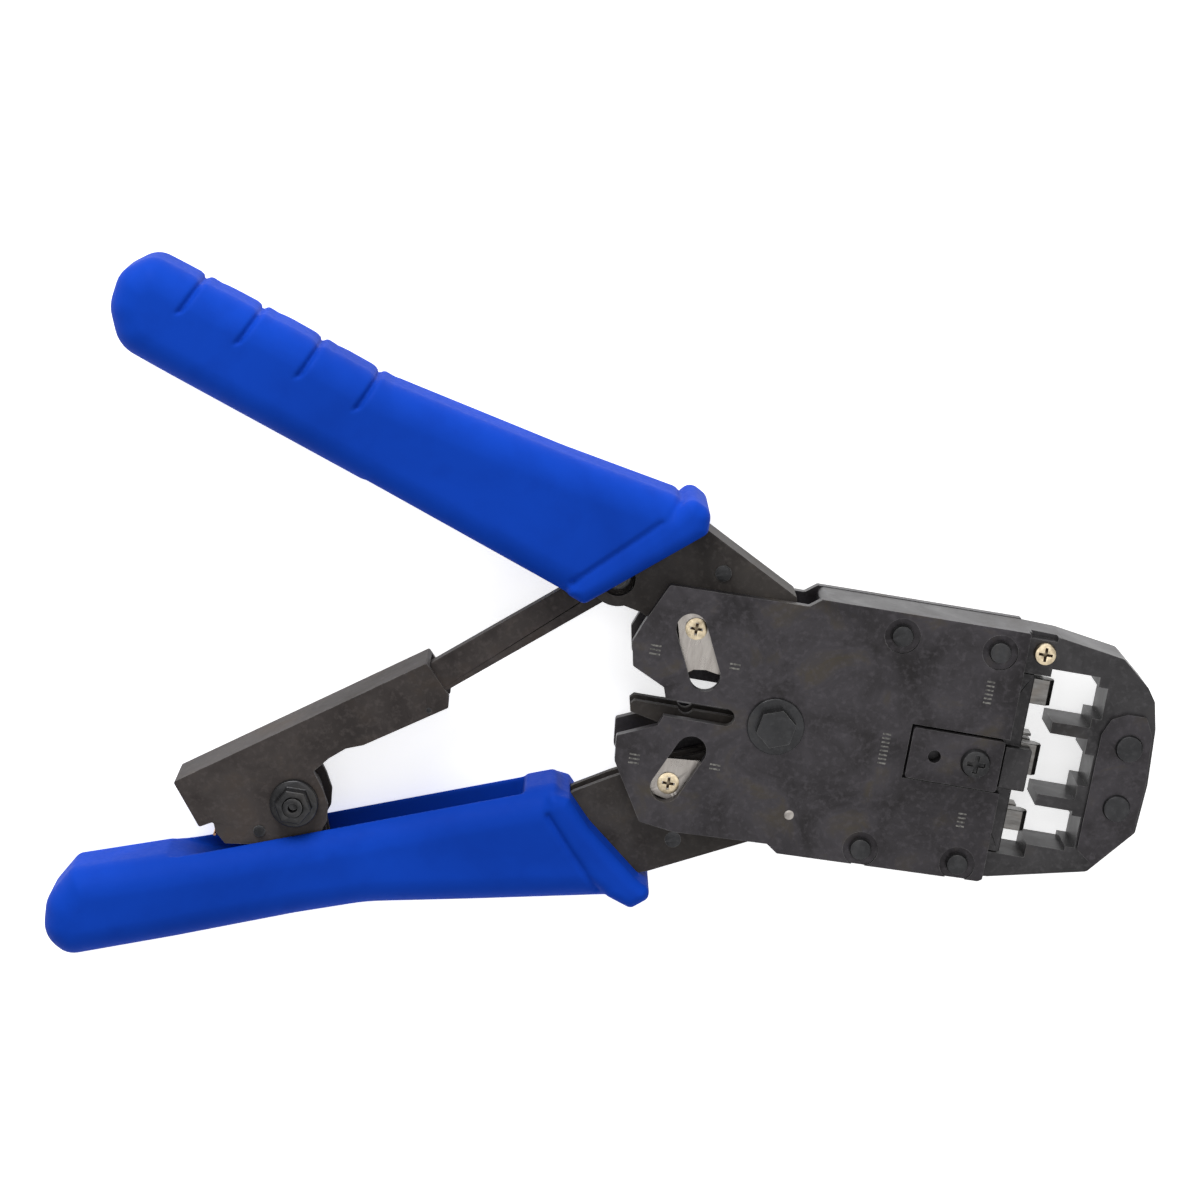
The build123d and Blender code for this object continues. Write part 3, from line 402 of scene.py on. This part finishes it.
def surface(field, low, high, pitch):
    """Quad mesh of the zero level of a distance field, by surface nets and two Newton steps."""
    counts = [int(np.ceil((high[k] - low[k]) / pitch)) + 1 for k in range(3)]
    axes = [low[k] + pitch * np.arange(counts[k]) for k in range(3)]
    gx, gy, gz = np.meshgrid(*axes, indexing="ij")
    value = field(gx, gy, gz)
    inside = value < 0
    cells = np.zeros([c - 1 for c in counts], int)
    for corner in np.ndindex(2, 2, 2):
        window = tuple(slice(o, o + c - 1) for o, c in zip(corner, counts))
        cells += inside[window]
    active = np.argwhere((cells > 0) & (cells < 8))
    number = np.full(cells.shape, -1)
    number[tuple(active.T)] = np.arange(len(active))
    total, hits = np.zeros((len(active), 3)), np.zeros(len(active))
    for axis in range(3):
        for a in (0, 1):
            for b in (0, 1):
                start = np.insert([a, b], axis, 0)
                end = np.insert([a, b], axis, 1)
                first = value[tuple((active + start).T)]
                second = value[tuple((active + end).T)]
                crosses = (first < 0) != (second < 0)
                share = np.where(crosses, first / np.where(crosses, first - second, 1), 0)
                point = active + start + share[:, None] * (end - start)
                total += np.where(crosses[:, None], point, 0)
                hits += crosses
    points = np.array(low) + pitch * total / hits[:, None]
    quads = []
    for axis in range(3):
        u, v = [k for k in range(3) if k != axis]
        lower = tuple(slice(0, -1) if k == axis else slice(1, -1) for k in range(3))
        upper = tuple(slice(1, None) if k == axis else slice(1, -1) for k in range(3))
        change = inside[lower].astype(int) - inside[upper].astype(int)
        for sign in (1, -1):
            base = np.argwhere(change == sign)
            base[:, u] += 1
            base[:, v] += 1
            ring = []
            for du, dv in ((1, 1), (0, 1), (0, 0), (1, 0)):
                cell = base.copy()
                cell[:, u] -= du
                cell[:, v] -= dv
                ring.append(number[tuple(cell.T)])
            ring = np.stack(ring, 1)
            flip = (sign == 1) != (axis == 1)
            quads.append(ring if flip else ring[:, ::-1])
    quads = np.concatenate(quads)
    for _ in range(2):
        x, y, z = points.T
        here = field(x, y, z)
        slope = np.stack([
            field(x + SLOPE_STEP, y, z) - here,
            field(x, y + SLOPE_STEP, z) - here,
            field(x, y, z + SLOPE_STEP) - here,
        ], 1) / SLOPE_STEP
        move = -here[:, None] * slope / np.maximum((slope**2).sum(1), GENTLEST_SLOPE)[:, None]
        points = points + np.clip(move, -pitch, pitch)
    return points, quads


def mesh_piece(name, points, faces, material, slot, body, *replaced):
    """A smooth-shaded piece from points in mm, riding on a body and standing in for CAD nodes."""
    mesh = bpy.data.meshes.new(name)
    mesh.from_pydata((np.asarray(points) * MM).tolist(), [], np.asarray(faces).tolist())
    mesh.polygons.foreach_set("use_smooth", [True] * len(mesh.polygons))
    mesh.materials.append(material)
    mesh.update()
    piece = bpy.data.objects.new(name, mesh)
    scene.collection.objects.link(piece)
    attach(piece, body)
    if replaced:
        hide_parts(*replaced)
    return piece


# ---- Grips ---------------------------------------------------------------------------------------
# Levels, roundings and outlines are in mm.
GRIP_LOW, GRIP_HIGH, GRIP_ROUND = 0.4, 20.6, 5.8
RIM_LOW, RIM_HIGH, RIM_FILLET = 0.05, 20.95, 0.9
UPPER_RIM_ROUND, LOWER_RIM_ROUND = 2.6, 2.2
SLOT_LOW, SLOT_HIGH, SLOT_ROUND = 3.3, 16.7, 0.8
UPPER_SLOT_CORNER, UPPER_SLOT_LIP = 1.2, 0.7
LOWER_SLOT_CORNER, LOWER_SLOT_LIP = 1.6, 0.8
UPPER_CHANNEL_LOW, UPPER_CHANNEL_HIGH = 5.1, 14.9
LOWER_CHANNEL_LOW, LOWER_CHANNEL_HIGH = 6.7, 13.3
CHANNEL_ROUND, RUNNING_GAP = 0.1, 0.1

COLLAR_LINE_DEPTH, COLLAR_LINE_WIDTH, COLLAR_LINE_FADE = 0.5, 0.55, 2.0
CREASE_DEPTH, CREASE_WIDTH, CREASE_FADE = 0.95, 0.5, 3.0
CREASE_LENGTH, CREASE_SLANT = 4.2, 0.7
DIP_DEPTH, DIP_PLACE, DIP_WIDTH, DIP_FADE = 0.22, 2.2, 2.4, 8.0
COARSE_PITCH, FINE_PITCH = 0.7, 0.45

upper_edge = [
    (-43.2, 17.9), (-80.7, 31.4), (-119.6, 45.0), (-129.6, 48.6), (-132.4, 55.6), (-131.4, 62.0),
    (-126.0, 66.0), (-116.2, 62.8), (-99.8, 57.4), (-80.0, 50.3), (-47.2, 43.0), (-25.4, 38.9),
    (-20.0, 33.6), (-38.6, 17.0),
]
upper_radii = [1.6, 60, 20, 6.5, 7, 5, 4.5, 30, 60, 60, 60, 2, 1.5, 1.5]
upper_rim = [
    (-22.8, 39.7), (-18.9, 37.6), (-18.8, 33.5), (-38.8, 16.7), (-42.4, 18.1), (-42.2, 19.9),
    (-27.0, 34.6),
]
upper_rim_radii = [2.0, 2.4, 1.6, 1.2, 1.2, 1.0, 2.0]
upper_slot = [(-26, 8), (-26, 18), (-33, 26.5), (-43, 28.5), (-79, 39), (-83, 30), (-45, 12)]
lower_edge = [
    (-101.0, -42.0), (-124.2, -50.0), (-128.0, -56.5), (-127.6, -63.6), (-122.6, -66.8),
    (-103.3, -59.7), (-81.9, -51.4), (-69.0, -46.9), (-50.0, -43.1), (-24.6, -37.8), (-19.4, -34.4),
    (-31.5, -24.6), (-38.0, -18.2),
]
lower_radii = [60, 2.0, 6, 5.5, 4.5, 40, 40, 40, 40, 2, 1.5, 8, 1.5]
lower_rim = [
    (-38.8, -19.4), (-35.2, -19.8), (-30.5, -24.9), (-20.2, -33.1), (-17.4, -34.6), (-17.4, -36.4),
    (-20.3, -38.8), (-25.0, -37.2), (-33.6, -30.2), (-39.6, -22.6),
]
lower_rim_radii = [1.2, 1.0, 6, 3, 1.4, 1.4, 1.4, 2.0, 2, 1.4]
lower_slot = [
    (-107.5, -38), (-107.5, -44.3), (-97.0, -44.8), (-88.0, -44.4), (-58.5, -33.6), (-43.5, -28),
    (-43.5, -14),
]
# The steel levers inside the grips, along the back and then along the inner side.
upper_back = [
    (-0.3, 23.9), (-18.7, 33.5), (-24.6, 35.4), (-50.0, 40.0), (-78.0, 46.0), (-117.0, 59.6),
]
upper_inner = [
    (-117.0, 51.0), (-78.0, 37.6), (-48.0, 27.2), (-41.0, 24.5), (-39.0, 18.5), (-33.9, 16.9),
    (-4.6, 5.4),
]
lower_back = [
    (-0.3, -23.9), (-18.1, -32.9), (-24.0, -34.8), (-50.0, -39.8), (-72.0, -44.6), (-114.0, -61.0),
]
lower_inner = [
    (-114.0, -54.4), (-101.0, -49.4), (-58.5, -33.8), (-44.0, -28.2), (-34.2, -19.9), (-4.6, -5.4),
]
upper_collar_line = ((-41.6, 20.6), (-27.6, 34.2))
lower_collar_line = ((-38.6, -23.6), (-27.2, -36.2))
# Each finger groove: where it meets the back of the grip, and the way out from there.
groove_spots = [
    ((-116.4, 62.9), (-0.31, 0.95)), ((-105.3, 59.2), (-0.31, 0.95)),
    ((-93.8, 55.2), (-0.33, 0.94)), ((-82.6, 51.2), (-0.33, 0.94)),
]


def line_groove(x, y, shape, line):
    """How far a narrow groove along a straight line sinks the skin of a shape."""
    (ax, ay), (bx, by) = line
    ex, ey = bx - ax, by - ay
    along = np.clip(((x - ax) * ex + (y - ay) * ey) / (ex * ex + ey * ey), 0, 1)
    away = np.hypot(x - ax - along * ex, y - ay - along * ey)
    profile = COLLAR_LINE_DEPTH * np.exp(-((away / COLLAR_LINE_WIDTH) ** 2))
    return profile * np.exp(-((shape / COLLAR_LINE_FADE) ** 2))


def widened(points, gap):
    """The outline a little larger all round, for a running gap."""
    points = [Vector(p) for p in points]
    area = sum(a.x * b.y - b.x * a.y for a, b in zip(points, points[1:] + points[:1]))
    side = 1 if area > 0 else -1
    moved = []
    for index, point in enumerate(points):
        a = (point - points[index - 1]).normalized()
        b = (points[(index + 1) % len(points)] - point).normalized()
        normal = Vector(((a.y + b.y), -(a.x + b.x))).normalized() * side
        moved.append(tuple(point + normal * gap / max(0.5, normal.dot(Vector((a.y, -a.x)) * side))))
    return np.array(moved)


def upper_field():
    """Distance field of the upper grip: body, collar, finger grooves and the slot for the link."""
    body = rounded_corners(upper_edge, upper_radii)
    rim = rounded_corners(upper_rim, upper_rim_radii)
    slot = rounded_corners(upper_slot, UPPER_SLOT_CORNER)
    channel = widened(upper_back + upper_inner, RUNNING_GAP)

    def field(x, y, z):
        shape = slab(flat_distance(x, y, body), z, GRIP_LOW, GRIP_HIGH, GRIP_ROUND)
        collar = slab(flat_distance(x, y, rim), z, RIM_LOW, RIM_HIGH, UPPER_RIM_ROUND)
        shape = join(shape, collar, RIM_FILLET)
        for (gx, gy), (nx, ny) in groove_spots:
            along = (x - gx) * ny - (y - gy) * nx
            depth = (x - gx) * nx + (y - gy) * ny
            inward = np.maximum(-depth, 0)
            arm = np.hypot(CREASE_SLANT * (along + inward), np.maximum(inward - CREASE_LENGTH, 0))
            crease = np.exp(-((arm / CREASE_WIDTH) ** 2)) * np.exp(-((shape / CREASE_FADE) ** 2))
            shape = shape + CREASE_DEPTH * crease
            dip = np.clip(1 - np.abs(along - DIP_PLACE) / DIP_WIDTH, 0, 1) ** 2
            shape = shape + DIP_DEPTH * (dip * np.clip(1 + depth / DIP_FADE, 0, 1))
        shape = shape + line_groove(x, y, shape, upper_collar_line)
        opening = slab(flat_distance(x, y, slot), z, SLOT_LOW, SLOT_HIGH, SLOT_ROUND)
        shape = cut(shape, opening, UPPER_SLOT_LIP)
        inside = flat_distance(x, y, channel)
        return np.maximum(shape, -slab(inside, z, UPPER_CHANNEL_LOW, UPPER_CHANNEL_HIGH, CHANNEL_ROUND))

    return field


def lower_field():
    """Distance field of the lower grip: body, collar and the long slot along its inner side."""
    body = rounded_corners(lower_edge, lower_radii)
    rim = rounded_corners(lower_rim, lower_rim_radii)
    slot = rounded_corners(lower_slot, LOWER_SLOT_CORNER)
    channel = widened(lower_back + lower_inner, RUNNING_GAP)

    def field(x, y, z):
        shape = slab(flat_distance(x, y, body), z, GRIP_LOW, GRIP_HIGH, GRIP_ROUND)
        collar = slab(flat_distance(x, y, rim), z, RIM_LOW, RIM_HIGH, LOWER_RIM_ROUND)
        shape = join(shape, collar, RIM_FILLET)
        shape = shape + line_groove(x, y, shape, lower_collar_line)
        opening = slab(flat_distance(x, y, slot), z, SLOT_LOW, SLOT_HIGH, SLOT_ROUND)
        shape = cut(shape, opening, LOWER_SLOT_LIP)
        inside = flat_distance(x, y, channel)
        return np.maximum(shape, -slab(inside, z, LOWER_CHANNEL_LOW, LOWER_CHANNEL_HIGH, CHANNEL_ROUND))

    return field


pitch = FINE_PITCH
for name, field, reach in (
    ("upper", upper_field(), ((-133.6, 14.6, -0.6), (-17.0, 67.4, 21.6))),
    ("lower", lower_field(), ((-129.6, -69.4, -0.6), (-15.8, -16.4, 21.6))),
):
    points, quads = surface(field, *reach, pitch)
    mesh_piece(
        f"{name}_grip_moulding", points, quads, finishes["blue_vinyl"],
        "blue_vinyl", f"{name}_handle", f"{name}_grip",
    )

# ---- Return spring: a hairpin with one leg towards each handle -----------------------------------
WIRE_RADIUS, BEND_RADIUS, SPRING_LEVEL = 0.7, 5.05, 10.0
LEG_ANGLE, LEG_LENGTH = radians(46.7), 31.0
WIRE_SIDES, BEND_STEPS, LEG_STEPS = 12, 10, 16


def spring_half(side):
    """Points and faces of half the hairpin: part of the turn round the bush, then a straight leg."""
    turn = pi / 2 - LEG_ANGLE
    angles = [turn * step / BEND_STEPS for step in range(BEND_STEPS + 1)]
    path = [(BEND_RADIUS * cos(angle), BEND_RADIUS * sin(angle), angle) for angle in angles]
    bend_x, bend_y, _ = path[-1]
    for step in range(1, LEG_STEPS + 1):
        along = LEG_LENGTH * step / LEG_STEPS
        path.append((bend_x - along * sin(turn), bend_y + along * cos(turn), turn))
    points, faces = [], []
    for x, y, angle in path:
        for k in range(WIRE_SIDES):
            out = WIRE_RADIUS * cos(2 * pi * k / WIRE_SIDES)
            rise = WIRE_RADIUS * sin(2 * pi * k / WIRE_SIDES)
            points.append((x + out * cos(angle), side * (y + out * sin(angle)), SPRING_LEVEL + rise))
    for ring in range(len(path) - 1):
        for k in range(WIRE_SIDES):
            a, b = ring * WIRE_SIDES + k, ring * WIRE_SIDES + (k + 1) % WIRE_SIDES
            faces.append((a, a + WIRE_SIDES, b + WIRE_SIDES, b))
    last = (len(path) - 1) * WIRE_SIDES
    faces.append(tuple(range(WIRE_SIDES)))
    faces.append(tuple(last + k for k in reversed(range(WIRE_SIDES))))
    return points, faces if side > 0 else [face[::-1] for face in faces]


for handle, side in (("upper", 1), ("lower", -1)):
    points, faces = spring_half(side)
    mesh = bpy.data.meshes.new(f"return_spring_{handle}_leg")
    mesh.from_pydata([tuple(value * MM for value in point) for point in points], [], faces)
    mesh.polygons.foreach_set("use_smooth", [len(face) == 4 for face in faces])
    mesh.materials.append(finishes["spring_steel"])
    leg = bpy.data.objects.new(mesh.name, mesh)
    scene.collection.objects.link(leg)
    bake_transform(leg)
    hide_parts("return_spring")

# ---- Plain printed ticks on the near plate -------------------------------------------------------
PLATE_TOP, PRINT_RISE = 18.0, 0.04
TICK_WIDTH, TICK_PITCH = 0.32, 0.8
# Each row: middle x and y, how many ticks, and their length.
tick_rows = {
    "long_strip_upper": (-24.4, 10.4, 3, 2.0), "long_strip_lower": (-24.6, -10.6, 3, 2.0),
    "short_strip_upper": (-9.4, 9.8, 2, 2.0), "short_strip_lower": (-9.6, -9.6, 2, 2.0),
    "six_contacts": (37.6, 13.0, 6, 1.5), "four_contacts": (37.3, -11.8, 4, 1.5),
    "eight_contacts": (20.6, -0.8, 8, 1.5),
}
paint = mark_paint()
for name, (x, y, count, length) in tick_rows.items():
    points, faces = [], []
    for tick in range(count):
        centre = y + (tick - (count - 1) / 2) * TICK_PITCH
        first = len(points)
        for level in (PLATE_TOP, PLATE_TOP + PRINT_RISE):
            for dx, dy in ((-1, -1), (1, -1), (1, 1), (-1, 1)):
                points.append((x + dx * length / 2, centre + dy * TICK_WIDTH / 2, level))
        sides = [(0, 3, 2, 1), (4, 5, 6, 7), (0, 1, 5, 4), (1, 2, 6, 5), (2, 3, 7, 6), (3, 0, 4, 7)]
        faces += [tuple(first + corner for corner in side) for side in sides]
    ticks = mesh_piece("ticks_" + name, points, faces, paint, "plate_steel", "head")
    ticks.data.polygons.foreach_set("use_smooth", [False] * len(faces))

# ---- Floor, light and camera ---------------------------------------------------------------------
# In metres, but for the lens and the sensor, which are in mm.
FLOOR_HALF, FLOOR_DROP = 3.0, 0.0002
PAPER_GLOW, WORLD_GLOW = 0.62, 0.34
LENS, SENSOR_WIDTH = 100.0, 36.0
NEAREST, FURTHEST = 0.02, 20.0

floor_mesh = bpy.data.meshes.new("floor")
floor_corners = [(x * FLOOR_HALF, y * FLOOR_HALF, 0) for x, y in ((-1, -1), (1, -1), (1, 1), (-1, 1))]
floor_mesh.from_pydata(floor_corners, [], [(0, 1, 2, 3)])
floor = bpy.data.objects.new("floor", floor_mesh)
scene.collection.objects.link(floor)
paper = Shader("pale_paper")
paper.set(Roughness=0.9, Specular_IOR_Level=0.1)
paper.set(Emission_Color=(1, 1, 1, 1), Emission_Strength=PAPER_GLOW)
paper.bsdf.inputs["Base Color"].default_value = (0.93, 0.93, 0.93, 1)
floor_mesh.materials.append(paper.material)
floor.location.z = -FLOOR_DROP

world = bpy.data.worlds.new("soft_studio")
world.use_nodes = True
background = world.node_tree.nodes["Background"]
background.inputs["Color"].default_value = (1, 1, 1, 1)
background.inputs["Strength"].default_value = WORLD_GLOW
scene.world = world


def soft_light(name, place, size, power):
    """A square soft box that points at the middle of the tool."""
    data = bpy.data.lights.new(name, "AREA")
    data.size = size
    data.energy = power
    lamp = bpy.data.objects.new(name, data)
    lamp.location = place
    lamp.rotation_euler = (tool_middle - Vector(place)).to_track_quat("-Z", "Y").to_euler()
    scene.collection.objects.link(lamp)


tool_middle = Vector((-0.03, 0.0, 0.01))
soft_light("key_above", (-0.35, 0.85, 0.45), size=0.6, power=10.5)
soft_light("fill_front", (0.35, -0.55, 0.75), size=0.9, power=2.2)
soft_light("overhead", (-0.05, 0.15, 1.1), size=0.8, power=2.8)

camera_data = bpy.data.cameras.new("camera")
camera_data.lens = LENS
camera_data.sensor_width = SENSOR_WIDTH
camera_data.clip_start = NEAREST
camera_data.clip_end = FURTHEST
camera = bpy.data.objects.new("camera", camera_data)
# Where the photo was taken from: the camera's axes and its place.
right = Vector((0.984769, 0.173641, 0.008925))
up = Vector((-0.167947, 0.963254, -0.209611))
back = Vector((-0.044994, 0.204919, 0.977744))
spot = Vector((-0.063452, 0.142768, 0.614046))
camera.matrix_world = Matrix((
    (right.x, up.x, back.x, spot.x),
    (right.y, up.y, back.y, spot.y),
    (right.z, up.z, back.z, spot.z),
    (0, 0, 0, 1),
))
scene.collection.objects.link(camera)
scene.camera = camera
scene.view_settings.view_transform = "Standard"
